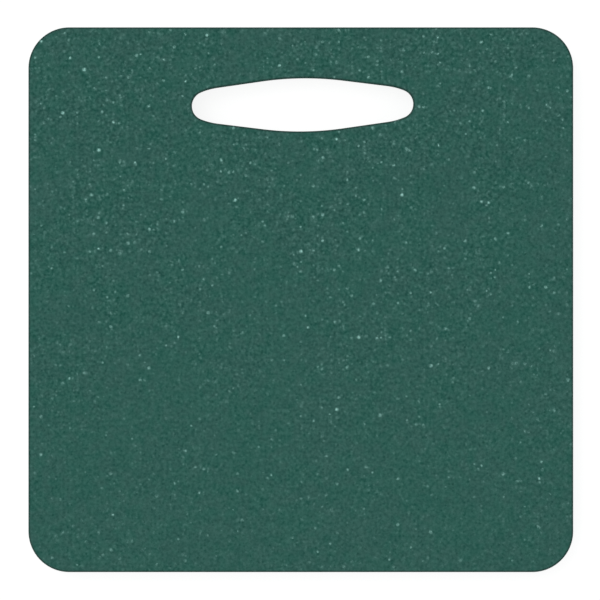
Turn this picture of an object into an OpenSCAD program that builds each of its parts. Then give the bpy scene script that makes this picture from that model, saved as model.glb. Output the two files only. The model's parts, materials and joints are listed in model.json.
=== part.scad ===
// Garden kneeling pad: a square of closed-cell foam, laminated from four flat sheets and
// die-cut in one stroke, with rounded corners and a hand slot along one edge.
//
// Units are millimetres. The origin is the centre of the ground face. +X is to the right,
// +Y is towards the hand slot and +Z is up, towards the kneeling face.

/* [Pad] */
// Length of each of the four sides
side = 400; // [300:5:500]
// Radius of the four corners, seen from above
corner_r = 30; // [10:1:60]

/* [Foam sheets] */
// Thickness of the ground sheet, the tough fine-cell foam underneath
ground_sheet_t = 3; // [1:0.5:6]
// Thickness of the firm foam, which stops the knees from bottoming out
firm_foam_t = 7; // [4:0.5:15]
// Thickness of the soft foam, which gives under the knees
soft_foam_t = 12; // [6:0.5:25]
// Thickness of the kneeling sheet, the tough fine-cell foam that the knees touch
kneeling_sheet_t = 3; // [1:0.5:6]

/* [Hand slot] */
// Length of the slot from end to end
slot_l = 162.8; // [145:0.2:200]
// Width of the slot at its middle, where it is widest
slot_w = 39.2; // [36:0.2:42]
// Radius of the round tip at each end of the slot
slot_tip_r = 10.8; // [9:0.1:12]
// Radius of the shoulders, which ease each tip into the long edges
slot_shoulder_r = 51; // [20:1:60]
// Angle from the slot's long axis at which a tip turns into its shoulders, in degrees
slot_shoulder_turn = 68; // [64:1:70]
// Radius of the bow in the middle of each long edge, as far as the shoulders allow
slot_bow_r = 224; // [80:2:400]
// Distance from the edge of the pad to the middle of the slot
slot_inset = 56.8; // [45:0.2:80]
// Distance of the slot to the right of the pad's centre line
slot_shift = 1.3; // [-10:0.1:10]
// Turn of the slot, anticlockwise seen from above, in degrees
slot_turn = 0.6; // [-3:0.1:3]

/* [Hidden] */
$fn = 96;

// Height of the underside of each sheet
firm_foam_z = ground_sheet_t;
soft_foam_z = firm_foam_z + firm_foam_t;
kneeling_sheet_z = soft_foam_z + soft_foam_t;

// The slot is a lozenge. Each quarter of its edge is half of a bow, a straight taper, a shoulder
// and half of a round tip, and each of them is tangent to the next.
tip_x = slot_l / 2 - slot_tip_r;
// The direction that the edge faces where the upper right shoulder begins, the centre of that
// shoulder, and the point where it meets the tip
turn_normal = [cos(slot_shoulder_turn), sin(slot_shoulder_turn)];
shoulder_centre = [tip_x, 0] - (slot_shoulder_r - slot_tip_r) * turn_normal;
tip_joins = [tip_x, 0] + slot_tip_r * turn_normal;
// The flattest bow would run straight into the shoulders with no taper between them, so the
// bow stays a little rounder.
bow_top = [0, slot_w / 2];
flattest_bow_r = (norm(shoulder_centre - bow_top) ^ 2 - slot_shoulder_r ^ 2)
    / (slot_w - 2 * (shoulder_centre.y + slot_shoulder_r));
bow_r = min(slot_bow_r, 0.98 * flattest_bow_r);
// Centre of the upper bow
bow_centre = bow_top - [0, bow_r];
// The direction that the taper faces, and the two points where it meets the bow and the shoulder
between = shoulder_centre - bow_centre;
taper_turn = atan2(between.y, between.x) + acos((bow_r - slot_shoulder_r) / norm(between));
taper_normal = [cos(taper_turn), sin(taper_turn)];
bow_joins = bow_centre + bow_r * taper_normal;
shoulder_joins = shoulder_centre + slot_shoulder_r * taper_normal;
// The shapes that make up the slot overlap a little, so that no slivers are left between them.
overlap = 0.005;

// Colours of the two kinds of foam
sheet_green = "#335B53";
core_green = "#3B665C";

module rounded_square(width, r) {
    square([width, width - 2 * r], center = true);
    square([width - 2 * r, width], center = true);
    for (x = [-1, 1], y = [-1, 1])
        translate([x, y] * (width / 2 - r)) circle(r);
}

// A stretch of the slot between two equal arcs, one above its long axis and one below.
module between_arcs(centre, r, from_x, to_x) {
    intersection() {
        translate(centre) circle(r);
        translate([centre.x, -centre.y]) circle(r);
        translate([from_x, -slot_w]) square([to_x - from_x, 2 * slot_w]);
    }
}

// The right half of the slot, less its bow.
module slot_end() {
    upper_joins = [[0, bow_joins.y], bow_joins, shoulder_joins];
    lower_joins = [for (k = [2:-1:0]) [upper_joins[k].x, -upper_joins[k].y]];
    polygon(concat(upper_joins, lower_joins));
    between_arcs(shoulder_centre, slot_shoulder_r + overlap, 0, tip_joins.x);
    translate([tip_x, 0]) circle(slot_tip_r + 2 * overlap);
}

module hand_slot() {
    mid_taper_x = (bow_joins.x + shoulder_joins.x) / 2;
    translate([slot_shift, side / 2 - slot_inset]) rotate(slot_turn) {
        between_arcs(bow_centre, bow_r + overlap, -mid_taper_x, mid_taper_x);
        slot_end();
        mirror([1, 0]) slot_end();
    }
}

// One die-cut sheet of foam, with its underside at height z.
module foam_sheet(z, thickness) {
    translate([0, 0, z]) linear_extrude(thickness) difference() {
        rounded_square(side, corner_r);
        hand_slot();
    }
}

module ground_sheet() {
    color(sheet_green) foam_sheet(0, ground_sheet_t);
}

module firm_foam() {
    color(core_green) foam_sheet(firm_foam_z, firm_foam_t);
}

module soft_foam() {
    color(core_green) foam_sheet(soft_foam_z, soft_foam_t);
}

module kneeling_sheet() {
    color(sheet_green) foam_sheet(kneeling_sheet_z, kneeling_sheet_t);
}

ground_sheet();
firm_foam();
soft_foam();
kneeling_sheet();
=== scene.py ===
import json
import math
from collections import namedtuple

import bpy
import numpy as np
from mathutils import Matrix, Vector, noise
from mathutils.geometry import delaunay_2d_cdt
from mathutils.kdtree import KDTree


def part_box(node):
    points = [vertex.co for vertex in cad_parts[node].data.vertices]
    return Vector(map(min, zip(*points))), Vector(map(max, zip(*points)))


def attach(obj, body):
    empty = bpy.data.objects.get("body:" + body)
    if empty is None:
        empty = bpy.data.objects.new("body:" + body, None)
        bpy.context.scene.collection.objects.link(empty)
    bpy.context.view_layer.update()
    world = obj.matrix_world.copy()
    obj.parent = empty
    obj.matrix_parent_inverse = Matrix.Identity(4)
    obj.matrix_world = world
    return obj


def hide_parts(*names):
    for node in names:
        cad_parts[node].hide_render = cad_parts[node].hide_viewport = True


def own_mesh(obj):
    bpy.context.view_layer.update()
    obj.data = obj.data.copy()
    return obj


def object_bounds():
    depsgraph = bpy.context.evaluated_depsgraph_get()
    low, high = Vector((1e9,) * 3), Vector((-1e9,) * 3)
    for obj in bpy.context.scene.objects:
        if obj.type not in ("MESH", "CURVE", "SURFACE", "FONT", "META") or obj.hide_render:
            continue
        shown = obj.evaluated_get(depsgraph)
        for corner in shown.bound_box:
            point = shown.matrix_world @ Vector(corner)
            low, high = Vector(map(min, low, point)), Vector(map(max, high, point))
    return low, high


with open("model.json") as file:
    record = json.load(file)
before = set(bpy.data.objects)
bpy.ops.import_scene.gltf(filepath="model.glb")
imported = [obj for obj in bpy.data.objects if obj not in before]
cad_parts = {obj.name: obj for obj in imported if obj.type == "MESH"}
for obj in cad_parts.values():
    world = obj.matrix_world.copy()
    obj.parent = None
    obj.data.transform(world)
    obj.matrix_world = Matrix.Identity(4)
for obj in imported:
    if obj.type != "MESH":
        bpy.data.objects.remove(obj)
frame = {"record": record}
cad_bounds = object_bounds()
pad_low, pad_high = (Vector(corner) for corner in cad_bounds)

MM = 0.001

# The die-cut outline. The pad's size and the slot's place come from the frame.
CORNER_R = 30 * MM
SLOT_LENGTH = 162.8 * MM
SLOT_WIDTH = 39.2 * MM
SLOT_TIP_R = 10.8 * MM
SLOT_SHOULDER_R = 51 * MM
SLOT_SHOULDER_TURN = math.radians(68)
SLOT_BOW_R = 224 * MM
SLOT_TURN = math.radians(0.6)

# How finely the meshes are cut
OUTLINE_STEP = 1.2 * MM
WALL_STEP = 1.2 * MM
FACE_STEP = 2.1 * MM
HIDDEN_STEP = 25 * MM
ROUND_STEPS = 4
# The gap, in steps, between the innermost ring of a face and the points inside it
FACE_GAP = 0.55

# The cut edge: rounded over where it meets a free face, nicked along each bond, dished
# between the two faces, as foam springs back from the die, and rough with open cells
KNEELING_ROUND = 0.9 * MM
GROUND_ROUND = 0.5 * MM
BOND_ROUND = 0.3 * MM
WALL_DISH = 0.7 * MM
WALL_WAVE = 0.15 * MM
WALL_WAVE_SIZE = 18 * MM
WALL_ROUGHNESS = 0.10 * MM
WALL_GRAIN = 1.6 * MM
# How much painted shade falls along the rounded rims of the free faces and along the bonds
RIM_PAINTED_SHADE = 1.0
BOND_PAINTED_SHADE = 0.65
# How bright the painted shade along the rims and the bonds leaves the foam where it is darkest
CREASE_SHADE = 0.55

# The faces: they roll off towards a cut edge, swell gently and ripple a little
KNEELING_ROLL = 0.35 * MM
GROUND_ROLL = 0.10 * MM
ROLL_REACH = 5 * MM
SWELL_DEPTH = 0.25 * MM
SWELL_SIZE = 70 * MM
RIPPLE_DEPTH = 0.06 * MM
RIPPLE_SIZE = 14 * MM
FREE_RINGS = (1.6 * MM, 2.6 * MM, 4.2 * MM)

# An edge is a closed loop of points on the cut outline, each with the way out of the foam.
Edge = namedtuple("Edge", "points away")
# A face of a sheet: its height, which way it looks, whether it is free or bonded to another,
# the radius of its cut edge and how far it rolls off towards that edge.
Face = namedtuple("Face", "z up free radius roll")
# A ring of mesh points round both edges: how far into the foam, how high, whether it takes the
# face's own relief, how much of the skin's look it has and how much painted shade darkens it.
Ring = namedtuple("Ring", "inset z relief skin crease")
# The look of foam that the die has cut open, with the size of its cells and the depth of its
# bumps. Here and below, colours are linear and the sizes of patterns are in millimetres.
CutFoam = namedtuple("CutFoam", "colour cell_size bump_depth")
# A layer of pale specks: how far apart they are, how bright the common ones are, and how
# bright the rarest.
SpeckLayer = namedtuple("SpeckLayer", "spacing common rarest")

SHEET_FOAM = CutFoam((0.0245, 0.1020, 0.0820, 1), 0.45, 0.12)
FIRM_FOAM = CutFoam((0.0240, 0.1010, 0.0815, 1), 0.6, 0.15)
SOFT_FOAM = CutFoam((0.0285, 0.1130, 0.0905, 1), 0.8, 0.20)
CUT_ROUGHNESS = 0.85
CUT_PATCH_SIZE = 14
# The larger holes are this many cells apart.
HOLE_SPACING = 4
# The marks of the blade, drawn out along its way down through the foam
DRAG_SIZE = 1.2
DRAG_SCALE = (1.0, 1.0, 0.08)
FOAM_GLOSS = 0.25

# How far the underside's patterns are moved, so that the two faces differ
UNDERSIDE_SHIFT = (37, 53, 0)

# The skin drifts between two greens.
SKIN_GREEN = (0.0136, 0.0890, 0.0688, 1)
SKIN_GREY = (0.0170, 0.0868, 0.0700, 1)
MOTTLE_SIZE = 30
SMALL_MOTTLE_SIZE = 7
GLOSS_PATCH_SIZE = 9
SKIN_ROUGHNESS = (0.62, 0.78)
# The skin is livelier towards the hand slot, from this far below the pad's middle to as far
# above it, and in patches. The three pairs of values are for calm skin and for lively skin.
BUSY_REACH = 230
BUSY_PATCH_SIZE = 38
BUSY_RANGE = (0.3, 1.8)
GRAIN_CONTRAST = (0.32, 0.465)
GRAIN_LEVEL = (1.010, 0.971)
# What the grain, and the painted shade in the pores, add to the skin or take from it. To the eye
# it is a plain grey, and to multiply the green instead would tint it.
GRAIN_GREY = (0.0440, 0.0880, 0.0780)
GRAIN_SIZE = 2.3
FINE_GRAIN_SIZE = 0.55
# Pores: small round pits, painted darker as shade in their hollows
PORE_SPACING = 2.8
PORE_RADIUS = 1.35
PORE_SHARE = 0.55
PORE_SHADE = 0.74
# Pale specks, painted glints of skin cells that catch the light, lie in loose rings and small
# clumps. The rarer a speck is, the brighter it is.
PAINTED_GLINT_COLOUR = (0.57, 1.00, 0.92, 1)
SPECK_RADIUS = 1.6
SPECK_LAYERS = (SpeckLayer(3.1, 0.0079, 0.24), SpeckLayer(5.3, 0.0086, 0.46))
SPECK_RING_SIZE = 12
SPECK_CLUMP_SIZE = 8
# The rings and the specks are bent out of shape by noise of this size and this reach.
RING_WARP = (16, 6)
SPECK_WARP = (5, 1.6)
RARITY_POWER = -0.6
LOWEST_RARITY = 0.0005
BLACK = (0, 0, 0, 1)

# The studio, in metres and watts: a wide floor that mostly glows by itself, light from all
# round, which is brighter overhead, one softbox, and a white backdrop for the camera alone
FLOOR_SIZE = 80.0
FLOOR_GLOW = 0.86
FLOOR_WHITE = (0.22, 0.22, 0.22, 1)
SKY_SIDE = 0.44
SKY_TOP = 0.92
BACKDROP = 1.15
KEY_PLACE = (-4.4, 3.6, 10.6)
KEY_SIZE = 8.0
KEY_POWER = 480
# The camera's lens, in millimetres, and the place of the pad in its picture
CAMERA_LENS = 1000.0
PAD_SHARE_OF_FRAME = 0.9080
PAD_OFFSET = Vector((0.6 * MM, 0.2 * MM, 0))


# ---------------------------------------------------------------- outline


def loop_of_arcs(arcs):
    """The points of a closed, anticlockwise loop of arcs, each tangent to the straight line or
    the arc that follows it, and the direction that each point faces. An arc is (centre x,
    centre y, radius, first angle, last angle)."""
    points = []
    facing = []
    for k, (x, y, radius, first, last) in enumerate(arcs):
        count = round(radius * (last - first) / OUTLINE_STEP)
        for angle in np.linspace(first, last, count, endpoint=False):
            facing.append((math.cos(angle), math.sin(angle)))
            points.append((x + radius * facing[-1][0], y + radius * facing[-1][1]))
        ahead = np.array((math.cos(last), math.sin(last)))
        start = np.array((x, y)) + radius * ahead
        next_x, next_y, next_radius = arcs[(k + 1) % len(arcs)][:3]
        stop = np.array((next_x, next_y)) + next_radius * ahead
        count = round(np.linalg.norm(stop - start) / OUTLINE_STEP)
        for share in np.linspace(0, 1, count, endpoint=False):
            points.append(tuple(start + share * (stop - start)))
            facing.append(tuple(ahead))
    return np.array(points), np.array(facing)


def outer_edge(half):
    """The square outline with its four rounded corners."""
    quarter = math.pi / 2
    reach = half - CORNER_R
    corners = ((1, 1), (-1, 1), (-1, -1), (1, -1))
    arcs = [
        (reach * x, reach * y, CORNER_R, k * quarter, (k + 1) * quarter)
        for k, (x, y) in enumerate(corners)
    ]
    return Edge(*loop_of_arcs(arcs))


def slot_edge(centre):
    """The hand slot: two bowed edges, four straight tapers, four shoulders and two round tips."""
    tip_x = SLOT_LENGTH / 2 - SLOT_TIP_R
    ease = SLOT_SHOULDER_R - SLOT_TIP_R
    turn = SLOT_SHOULDER_TURN
    shoulder_x = tip_x - ease * math.cos(turn)
    shoulder_y = -ease * math.sin(turn)
    bow_y = SLOT_WIDTH / 2 - SLOT_BOW_R
    rise = shoulder_y - bow_y
    narrowing = math.acos((SLOT_BOW_R - SLOT_SHOULDER_R) / math.hypot(shoulder_x, rise))
    taper = math.atan2(rise, shoulder_x) + narrowing
    half = math.pi
    arcs = [
        (tip_x, 0, SLOT_TIP_R, -turn, turn),
        (shoulder_x, shoulder_y, SLOT_SHOULDER_R, turn, taper),
        (0, bow_y, SLOT_BOW_R, taper, half - taper),
        (-shoulder_x, shoulder_y, SLOT_SHOULDER_R, half - taper, half - turn),
        (-tip_x, 0, SLOT_TIP_R, half - turn, half + turn),
        (-shoulder_x, -shoulder_y, SLOT_SHOULDER_R, half + turn, half + taper),
        (0, -bow_y, SLOT_BOW_R, half + taper, 2 * half - taper),
        (shoulder_x, -shoulder_y, SLOT_SHOULDER_R, 2 * half - taper, 2 * half - turn),
    ]
    points, facing = loop_of_arcs(arcs)
    cos, sin = math.cos(SLOT_TURN), math.sin(SLOT_TURN)
    rotation = np.array(((cos, sin), (-sin, cos)))
    return Edge(points @ rotation + centre, -facing @ rotation)


def mount_place(name):
    """Where the record puts a mount."""
    for mount in frame["record"]["mounts"]:
        if mount["name"] == name:
            return Vector(mount["pos_m"])
    raise ValueError(f"the record has no mount named {name}")


class Outline:
    """The outline that the die cuts through all four sheets: the rim and the hand slot."""

    def __init__(self, rim, slot):
        self.rim = rim
        self.edges = (rim, slot)
        self.points = np.concatenate([edge.points for edge in self.edges])
        self.away = np.concatenate([edge.away for edge in self.edges])
        self.tree = KDTree(len(self.points))
        for index, (x, y) in enumerate(self.points):
            self.tree.insert((x, y, 0), index)
        self.tree.balance()

    def inset_at(self, x, y):
        """How far a point lies into the foam from the nearest cut edge."""
        _, index, _ = self.tree.find((x, y, 0))
        return float(np.dot(self.points[index] - (x, y), self.away[index]))


# ---------------------------------------------------------------- sheets of foam


def dish(z):
    """How far the cut wall is drawn in at height z, from nothing where its two rims begin."""
    bottom = pad_low.z + GROUND_ROUND
    top = pad_high.z - KNEELING_ROUND
    share = min(max((z - bottom) / (top - bottom), 0.0), 1.0)
    return WALL_DISH * 4 * share * (1 - share)


def wall_relief(x, y, z):
    """How far the rough, wavy cut surface lies inside the smooth wall at a point."""
    place = Vector((x, y, z))
    wave = WALL_WAVE * (1 + noise.noise(place / WALL_WAVE_SIZE)) / 2
    return wave + WALL_ROUGHNESS * (1 + noise.noise(place / WALL_GRAIN)) / 2


def face_relief(face, x, y, inset):
    """How far a free face lies below its sheet's full height at a point."""
    place = Vector((x, y, face.z))
    roll = face.roll * math.exp(-inset / ROLL_REACH)
    swell = SWELL_DEPTH * (1 + noise.noise(place / SWELL_SIZE)) / 2
    ripple = RIPPLE_DEPTH * (1 + noise.noise(place / RIPPLE_SIZE)) / 2
    return roll + swell + ripple


def face_rings(face):
    """The rings of one face, from the end of the cut wall inwards."""
    rings = []
    for angle in np.linspace(0, math.pi / 2, ROUND_STEPS + 1):
        inset = face.radius * (1 - math.cos(angle))
        depth = face.radius * (1 - math.sin(angle))
        skin = math.sin(angle) ** 2 if face.free else 0.0
        # Painted shade along the rim or the bond
        crease = RIM_PAINTED_SHADE if face.free else BOND_PAINTED_SHADE
        rings.append(Ring(inset, face.z - face.up * depth, face.free, skin, crease))
    if face.free:
        for inset in FREE_RINGS:
            rings.append(Ring(inset, face.z, True, 1.0, 0.0))
    return rings


def wall_rings(low, high):
    """The rings of the cut wall between two faces, from below upwards."""
    bottom = low.z + low.radius
    top = high.z - high.radius
    heights = np.linspace(bottom, top, math.ceil((top - bottom) / WALL_STEP) + 1)[1:-1]
    return [Ring(0.0, z, False, 0.0, 0.0) for z in heights]


def place_ring(edge, ring, face):
    """The points of one ring round one edge."""
    placed = []
    on_wall = not ring.skin and not ring.crease
    for point, away in zip(edge.points, edge.away):
        rough = wall_relief(*point, ring.z) if on_wall else 0.0
        x, y = point - away * (ring.inset + dish(ring.z) + rough)
        z = ring.z
        if ring.relief:
            z -= face.up * face_relief(face, x, y, ring.inset)
        placed.append((x, y, z))
    return placed


def points_within(outline, face, inset):
    """Rows of points that fill a face, further into the foam than the inset."""
    step = FACE_STEP if face.free else HIDDEN_STEP
    row_step = step * math.sqrt(3) / 2
    points = []
    for row, y in enumerate(np.arange(pad_low.y, pad_high.y, row_step)):
        for x in np.arange(pad_low.x + step / 2 * (row % 2), pad_high.x, step):
            depth = outline.inset_at(x, y)
            if depth > inset + FACE_GAP * step:
                relief = face_relief(face, x, y, depth) if face.free else 0.0
                points.append((x, y, face.z - face.up * relief))
    return points


def triangles_between(inner_rings, extra):
    """The triangles that close a face between its two innermost rings. They number the points
    of the rings first and then the extra points."""
    on_rings = [point for ring in inner_rings for point in ring]
    sides = []
    for ring in inner_rings:
        first = len(sides)
        sides += [(first + k, first + (k + 1) % len(ring)) for k in range(len(ring))]
    flat = [Vector(point[:2]) for point in on_rings + extra]
    inside_only, merge_within = 1, 1e-7
    result = delaunay_2d_cdt(flat, sides, [], inside_only, merge_within)
    triangles, origins = result[2:4]
    corners = [[origins[k][0] for k in triangle] for triangle in triangles]
    # The slot is convex, so the triangles that fill it have all their corners on its ring.
    slot_ring = range(len(inner_rings[0]), len(on_rings))
    return [triple for triple in corners if any(k not in slot_ring for k in triple)]


def foam_mesh(name, points, faces, shades, material):
    """A smooth mesh whose points carry how much of the skin's look they have and how much painted
    shade darkens them."""
    mesh = bpy.data.meshes.new(name)
    mesh.from_pydata(points, [], faces)
    for index, attribute in enumerate(("skin", "crease")):
        values = mesh.attributes.new(attribute, "FLOAT", "POINT")
        values.data.foreach_set("value", [shade[index] for shade in shades])
    mesh.polygons.foreach_set("use_smooth", [True] * len(faces))
    mesh.materials.append(material)
    mesh.validate()
    return mesh


def make_sheet(outline, name, body, low, high, material, slot):
    """One sheet of foam as a closed mesh, standing for the CAD node of the same name."""
    low_rings = face_rings(low)[::-1]
    high_rings = face_rings(high)
    rings = low_rings + wall_rings(low, high) + high_rings
    ring_faces = [low] * len(low_rings) + [high] * (len(rings) - len(low_rings))
    points, faces, shades = [], [], []
    first_of = {}
    for side, edge in enumerate(outline.edges):
        count = len(edge.points)
        for level, (ring, face) in enumerate(zip(rings, ring_faces)):
            first_of[side, level] = len(points)
            points += place_ring(edge, ring, face)
            shades += [(ring.skin, ring.crease)] * count
        for level in range(len(rings) - 1):
            lower, upper = first_of[side, level], first_of[side, level + 1]
            for k in range(count):
                after = (k + 1) % count
                quad = (lower + k, lower + after, upper + after, upper + k)
                # Both edges run anticlockwise, so the slot has its foam on the other side.
                faces.append(quad if edge is outline.rim else quad[::-1])
    for face, level in ((low, 0), (high, len(rings) - 1)):
        numbers = []
        inner_rings = []
        for side, edge in enumerate(outline.edges):
            first = first_of[side, level]
            after_last = first + len(edge.points)
            numbers += range(first, after_last)
            inner_rings.append(points[first:after_last])
        extra = points_within(outline, face, rings[level].inset + dish(face.z))
        numbers += range(len(points), len(points) + len(extra))
        points += extra
        shades += [(1.0 if face.free else 0.0, 0.0)] * len(extra)
        for triangle in triangles_between(inner_rings, extra):
            corners = [numbers[k] for k in triangle]
            faces.append(corners if face.up > 0 else corners[::-1])
    mesh = foam_mesh(name + "_foam", points, faces, shades, material)
    piece = bpy.data.objects.new(name + "_foam", mesh)
    bpy.context.scene.collection.objects.link(piece)
    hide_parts(name)
    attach(piece, body)
    return piece


# ---------------------------------------------------------------- materials


class Graph:
    """The node tree of a material or a world, with a short method for each kind of node that
    it needs. A value may be a number or another node's output."""

    def __init__(self, owner):
        owner.use_nodes = True
        self.tree = owner.node_tree
        self.tree.nodes.clear()
        # Where a pattern is looked up, in millimetres
        self.place = None

    def add(self, kind, settings=None, **inputs):
        node = self.tree.nodes.new(kind)
        for name, value in (settings or {}).items():
            setattr(node, name, value)
        for name, value in inputs.items():
            self.put(node.inputs[name.replace("_", " ")], value)
        return node

    def put(self, socket, value):
        if isinstance(value, bpy.types.NodeSocket):
            self.tree.links.new(value, socket)
        else:
            socket.default_value = value

    def math(self, operation, first, second=0.0):
        node = self.add("ShaderNodeMath", {"operation": operation})
        self.put(node.inputs[0], first)
        self.put(node.inputs[1], second)
        return node.outputs[0]

    def product(self, first, *others):
        for other in others:
            first = self.math("MULTIPLY", first, other)
        return first

    def vector(self, operation, first, second=None, **inputs):
        node = self.add("ShaderNodeVectorMath", {"operation": operation}, **inputs)
        self.put(node.inputs[0], first)
        if second is not None:
            self.put(node.inputs[1], second)
        return node.outputs[0]

    def fade(self, value, start, stop, low=0.0, high=1.0):
        """Goes smoothly from low at start to high at stop."""
        settings = {"interpolation_type": "SMOOTHSTEP"}
        node = self.add("ShaderNodeMapRange", settings, Value=value, From_Min=start,
                        From_Max=stop, To_Min=low, To_Max=high)
        return node.outputs["Result"]

    def noise(self, size, detail=2.0, place=None):
        node = self.add("ShaderNodeTexNoise", Vector=place or self.place, Scale=1 / size,
                        Detail=detail)
        return node.outputs[0]

    def cells(self, size, feature="F1", flat=False, place=None):
        settings = {"feature": feature, "voronoi_dimensions": "2D" if flat else "3D"}
        return self.add("ShaderNodeTexVoronoi", settings, Vector=place or self.place,
                        Scale=1 / size)

    def draws(self, cell):
        """Random numbers from 0 to 1 that belong to each cell, as Red, Green and Blue."""
        return self.add("ShaderNodeSeparateColor", Color=cell.outputs["Color"]).outputs

    def mix_colours(self, share, first, second, blend="MIX"):
        settings = {"data_type": "RGBA", "blend_type": blend, "clamp_result": False}
        node = self.add("ShaderNodeMix", settings)
        self.put(node.inputs[0], share)
        self.put(node.inputs[6], first)
        self.put(node.inputs[7], second)
        return node.outputs[2]

    def mix_numbers(self, share, first, second):
        node = self.add("ShaderNodeMix", {"data_type": "FLOAT"})
        self.put(node.inputs[0], share)
        self.put(node.inputs[2], first)
        self.put(node.inputs[3], second)
        return node.outputs[0]

    def warped_place(self, size, reach):
        """The place, moved about by up to half the reach by a noise of that size."""
        node = self.add("ShaderNodeTexNoise", Vector=self.place, Scale=1 / size, Detail=1.0)
        centred = self.vector("SUBTRACT", node.outputs["Color"], (0.5, 0.5, 0.5))
        return self.vector("ADD", self.place, self.vector("SCALE", centred, Scale=reach))

    def attribute(self, name):
        node = self.add("ShaderNodeAttribute", {"attribute_name": name})
        return node.outputs["Fac"]


def busyness(graph):
    """How lively the skin is, 1 on average: more so towards the hand slot, and in patches."""
    place = graph.add("ShaderNodeSeparateXYZ", Vector=graph.place)
    along = graph.fade(place.outputs["Y"], -BUSY_REACH, BUSY_REACH, 0.4, 1.4)
    patches = graph.fade(graph.noise(BUSY_PATCH_SIZE), 0.35, 0.65, 0.5, 1.55)
    return graph.product(along, patches)


def speck_density(graph, busy):
    """How thickly the pale specks, which are painted glints, lie: in loose rings and in small
    clumps.
    """
    place = graph.warped_place(*RING_WARP)
    ring_cells = graph.cells(SPECK_RING_SIZE, "DISTANCE_TO_EDGE", flat=True, place=place)
    rings = graph.fade(ring_cells.outputs["Distance"], 0.03, 0.28, 2.9, 0.3)
    clumps = graph.fade(graph.noise(SPECK_CLUMP_SIZE), 0.42, 0.60, 0.3, 2.35)
    return graph.product(rings, clumps, busy)


def painted_glints(graph, density, layer):
    """Painted glints: specks at random places, many faint and a few bright."""
    place = graph.warped_place(*SPECK_WARP)
    cell = graph.cells(layer.spacing, flat=True, place=place)
    draws = graph.draws(cell)
    distance = graph.product(cell.outputs["Distance"], layer.spacing)
    radius = graph.product(graph.fade(draws["Green"], 0, 1, 0.75, 1.25), SPECK_RADIUS)
    spot = graph.fade(graph.math("DIVIDE", distance, radius), 1, 0)
    rarity = graph.math("DIVIDE", draws["Red"], density)
    glow = graph.math("POWER", graph.math("MAXIMUM", rarity, LOWEST_RARITY), RARITY_POWER)
    glow = graph.math("MINIMUM", graph.product(glow, layer.common), layer.rarest)
    return graph.product(spot, glow)


def pores(graph):
    """Small round pits at random places, as depths from 0 to 1."""
    cell = graph.cells(PORE_SPACING, flat=True)
    pit = graph.fade(cell.outputs["Distance"], PORE_RADIUS / PORE_SPACING, 0)
    return graph.product(pit, graph.fade(graph.draws(cell)["Red"], 1 - PORE_SHARE, 1))


def foam_skin(graph):
    """The colour, roughness and height of the moulded skin on the pad's two faces."""
    busy = busyness(graph)
    grain = graph.noise(GRAIN_SIZE, 1.0)
    fine_grain = graph.cells(FINE_GRAIN_SIZE).outputs["Distance"]
    pit = pores(graph)
    contrast = graph.fade(busy, *BUSY_RANGE, *GRAIN_CONTRAST)
    level = graph.fade(busy, *BUSY_RANGE, *GRAIN_LEVEL)
    darkest = graph.math("SUBTRACT", level, contrast)
    lightest = graph.math("ADD", level, contrast)
    shade = graph.product(
        graph.fade(grain, 0.0, 1.0, darkest, lightest),
        graph.fade(fine_grain, 0.1, 0.8, 1.10, 0.90),
        # Painted shade in the pores
        graph.fade(pit, 0, 1, 1, PORE_SHADE),
    )
    mottle = graph.math("ADD", graph.noise(MOTTLE_SIZE), graph.noise(SMALL_MOTTLE_SIZE))
    green = graph.mix_colours(graph.fade(mottle, 0.85, 1.15), SKIN_GREEN, SKIN_GREY)
    grey = graph.vector("SCALE", GRAIN_GREY, Scale=graph.math("SUBTRACT", shade, 1.0))
    colour = graph.vector("MAXIMUM", graph.vector("ADD", green, grey), (0.0, 0.0, 0.0))
    density = speck_density(graph, busy)
    small, large = (painted_glints(graph, density, layer) for layer in SPECK_LAYERS)
    knots = graph.fade(fine_grain, 0.15, 0.75, 1.6, 0.4)
    # The pale specks are painted glints, added to the skin's colour
    specks = graph.product(graph.math("ADD", small, large), knots)
    colour = graph.mix_colours(1.0, colour, graph.mix_colours(specks, BLACK, PAINTED_GLINT_COLOUR), "ADD")
    roughness = graph.fade(graph.noise(GLOSS_PATCH_SIZE, 3.0), 0.3, 0.7, *SKIN_ROUGHNESS)
    height = graph.math("SUBTRACT", graph.product(grain, 0.6), pit)
    height = graph.math("SUBTRACT", height, graph.product(fine_grain, 0.25))
    return colour, roughness, height


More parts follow.
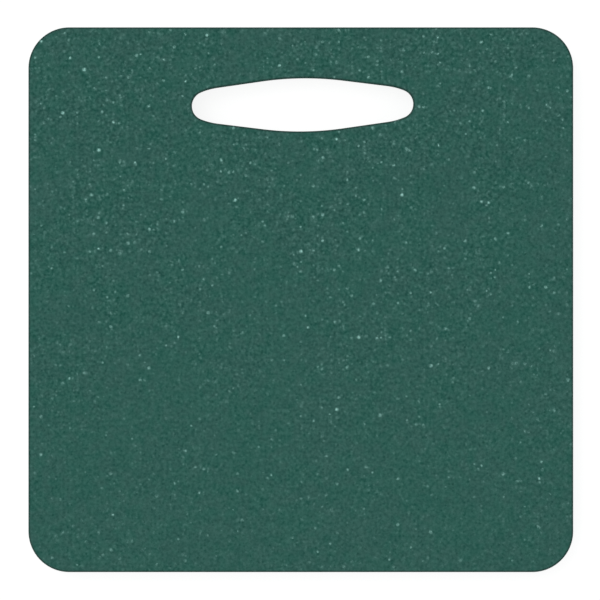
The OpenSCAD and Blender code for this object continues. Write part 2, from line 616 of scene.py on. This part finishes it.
def foam_cut(graph, foam):
    """The colour, roughness and height of foam that the die has cut open: rounded cells with
    thin pale walls and hollows painted darker as shade, a few painted bright where they catch
    the light, some larger holes painted dark as shade, and faint marks where the blade was
    drawn through."""
    cell = graph.cells(foam.cell_size)
    draws = graph.draws(cell)
    hollow = graph.fade(cell.outputs["Distance"], 0.75, 0.1)
    glint = graph.product(graph.fade(draws["Green"], 0.96, 1.0),
                          graph.fade(cell.outputs["Distance"], 0.45, 0.1))
    hole_cell = graph.cells(HOLE_SPACING * foam.cell_size)
    hole = graph.product(graph.fade(hole_cell.outputs["Distance"], 0.16, 0.06),
                         graph.fade(graph.draws(hole_cell)["Red"], 0.3, 0.9))
    drawn_out = graph.vector("MULTIPLY", graph.place, DRAG_SCALE)
    drag = graph.noise(DRAG_SIZE, place=drawn_out)
    shade = graph.product(
        # Painted shade in the hollows of the cells
        graph.fade(hollow, 0, 1, 1.18, 0.86),
        graph.fade(draws["Red"], 0, 1, 0.82, 1.18),
        # Painted shade in the holes
        graph.fade(hole, 0, 1, 1.0, 0.5),
        graph.fade(drag, 0.25, 0.75, 0.88, 1.12),
        graph.fade(graph.noise(CUT_PATCH_SIZE), 0.3, 0.7, 0.93, 1.07),
        # Painted glints on the few cells that catch the light
        graph.fade(glint, 0, 1, 1.0, 2.4),
    )
    colour = graph.mix_colours(1.0, foam.colour, shade, "MULTIPLY")
    height = graph.math("SUBTRACT", graph.product(drag, 0.4), hollow)
    height = graph.math("SUBTRACT", height, graph.product(hole, 2.0))
    return colour, CUT_ROUGHNESS, height


def new_foam(name, shift=(0, 0, 0)):
    """A material and its graph. The shift, in millimetres, moves all of its patterns."""
    material = bpy.data.materials.new(name)
    graph = Graph(material)
    object_place = graph.add("ShaderNodeTexCoord").outputs["Object"]
    graph.place = graph.vector("ADD", graph.vector("SCALE", object_place, Scale=1 / MM), shift)
    return material, graph


def finish_foam(graph, colour, roughness, height, bump_depth):
    """Joins the colour, the roughness and the height. Painted shade darkens the foam along the
    rims and the bonds."""
    # Painted shade along the rims and the bonds, where the cut edge rounds over
    painted_crease_shade = graph.fade(graph.attribute("crease"), 0, 1, 1, CREASE_SHADE)
    colour = graph.mix_colours(1.0, colour, painted_crease_shade, "MULTIPLY")
    bump = graph.add("ShaderNodeBump", Height=height, Distance=bump_depth * MM, Strength=1.0)
    surface = graph.add("ShaderNodeBsdfPrincipled", Base_Color=colour, Roughness=roughness,
                        Normal=bump.outputs[0], Specular_IOR_Level=FOAM_GLOSS)
    graph.add("ShaderNodeOutputMaterial", Surface=surface.outputs[0])


def sheet_look(name, shift=(0, 0, 0)):
    """Tough, fine-cell foam: skin on its face, cut cells on its edge."""
    material, graph = new_foam(name, shift)
    skin_colour, skin_roughness, skin_height = foam_skin(graph)
    cut_colour, cut_roughness, cut_height = foam_cut(graph, SHEET_FOAM)
    skin = graph.attribute("skin")
    colour = graph.mix_colours(skin, cut_colour, skin_colour)
    roughness = graph.mix_numbers(skin, cut_roughness, skin_roughness)
    height = graph.mix_numbers(skin, cut_height, skin_height)
    finish_foam(graph, colour, roughness, height, SHEET_FOAM.bump_depth)
    return material


def core_look(name, foam):
    """Core foam, of which only the cut edge shows."""
    material, graph = new_foam(name)
    finish_foam(graph, *foam_cut(graph, foam), foam.bump_depth)
    return material


# ---------------------------------------------------------------- the pad

slot_centre = mount_place("hand_slot")
outline = Outline(outer_edge(pad_high.x), slot_edge(np.array(slot_centre[:2])))

looks = {
    "ground_sheet": sheet_look("ground_sheet_look", UNDERSIDE_SHIFT),
    "firm_foam": core_look("firm_foam_look", FIRM_FOAM),
    "soft_foam": core_look("soft_foam_look", SOFT_FOAM),
    "kneeling_sheet": sheet_look("kneeling_sheet_look"),
}
slots = {part["node"]: part["material_slot"] for part in frame["record"]["subparts"]}
body_of = {node: body for body, nodes in frame["record"]["behaviour"]["bodies"].items()
           for node in nodes}
pieces = {}
for node, slot in slots.items():
    low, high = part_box(node)
    faces = [Face(low.z, -1, False, BOND_ROUND, 0), Face(high.z, 1, False, BOND_ROUND, 0)]
    if node == "ground_sheet":
        faces[0] = Face(low.z, -1, True, GROUND_ROUND, GROUND_ROLL)
    if node == "kneeling_sheet":
        faces[1] = Face(high.z, 1, True, KNEELING_ROUND, KNEELING_ROLL)
    pieces[node] = make_sheet(outline, node, body_of[node], *faces, looks[node], slot)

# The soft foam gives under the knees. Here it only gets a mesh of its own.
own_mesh(pieces["soft_foam"])


# ---------------------------------------------------------------- studio


def make_floor():
    """A plain white floor. Most of its white is its own, so that only soft shadows fall."""
    half = FLOOR_SIZE / 2
    mesh = bpy.data.meshes.new("floor")
    corners = [(-half, -half, 0), (half, -half, 0), (half, half, 0), (-half, half, 0)]
    mesh.from_pydata(corners, [], [(0, 1, 2, 3)])
    material = bpy.data.materials.new("floor_white")
    graph = Graph(material)
    lit = graph.add("ShaderNodeBsdfDiffuse", Color=FLOOR_WHITE)
    glowing = graph.add("ShaderNodeEmission", Strength=FLOOR_GLOW)
    both = graph.add("ShaderNodeAddShader")
    graph.put(both.inputs[0], lit.outputs[0])
    graph.put(both.inputs[1], glowing.outputs[0])
    graph.add("ShaderNodeOutputMaterial", Surface=both.outputs[0])
    mesh.materials.append(material)
    floor = bpy.data.objects.new("floor", mesh)
    bpy.context.scene.collection.objects.link(floor)


def make_world():
    """Light from all round, brighter overhead, in front of a white backdrop."""
    world = bpy.data.worlds.new("studio")
    graph = Graph(world)
    place = graph.add("ShaderNodeTexCoord").outputs["Generated"]
    height = graph.add("ShaderNodeSeparateXYZ", Vector=place).outputs["Z"]
    sky = graph.add("ShaderNodeMapRange", Value=height, To_Min=SKY_SIDE, To_Max=SKY_TOP)
    seen = graph.add("ShaderNodeLightPath").outputs["Is Camera Ray"]
    strength = graph.mix_numbers(seen, sky.outputs["Result"], BACKDROP)
    white = graph.add("ShaderNodeBackground", Color=(1, 1, 1, 1), Strength=strength)
    graph.add("ShaderNodeOutputWorld", Surface=white.outputs[0])
    bpy.context.scene.world = world


def make_key_light():
    """A square softbox that looks at the middle of the pad."""
    lamp = bpy.data.lights.new("key", "AREA")
    lamp.size = KEY_SIZE
    lamp.energy = KEY_POWER
    softbox = bpy.data.objects.new("key", lamp)
    softbox.location = KEY_PLACE
    softbox.rotation_mode = "QUATERNION"
    softbox.rotation_quaternion = (-Vector(KEY_PLACE)).to_track_quat("-Z", "Y")
    softbox.visible_camera = False
    bpy.context.scene.collection.objects.link(softbox)


def make_camera():
    """Straight above the pad, with +Y up, from far enough to see no perspective."""
    lens = bpy.data.cameras.new("camera")
    lens.lens = CAMERA_LENS
    frame_width = (pad_high.x - pad_low.x) / PAD_SHARE_OF_FRAME
    distance = CAMERA_LENS / lens.sensor_width * frame_width
    lens.clip_end = 2 * distance
    camera = bpy.data.objects.new("camera", lens)
    camera.location = Vector((0, 0, pad_high.z + distance)) - PAD_OFFSET
    bpy.context.scene.collection.objects.link(camera)
    bpy.context.scene.camera = camera


make_floor()
make_world()
make_key_light()
make_camera()
bpy.context.scene.view_settings.view_transform = "Standard"
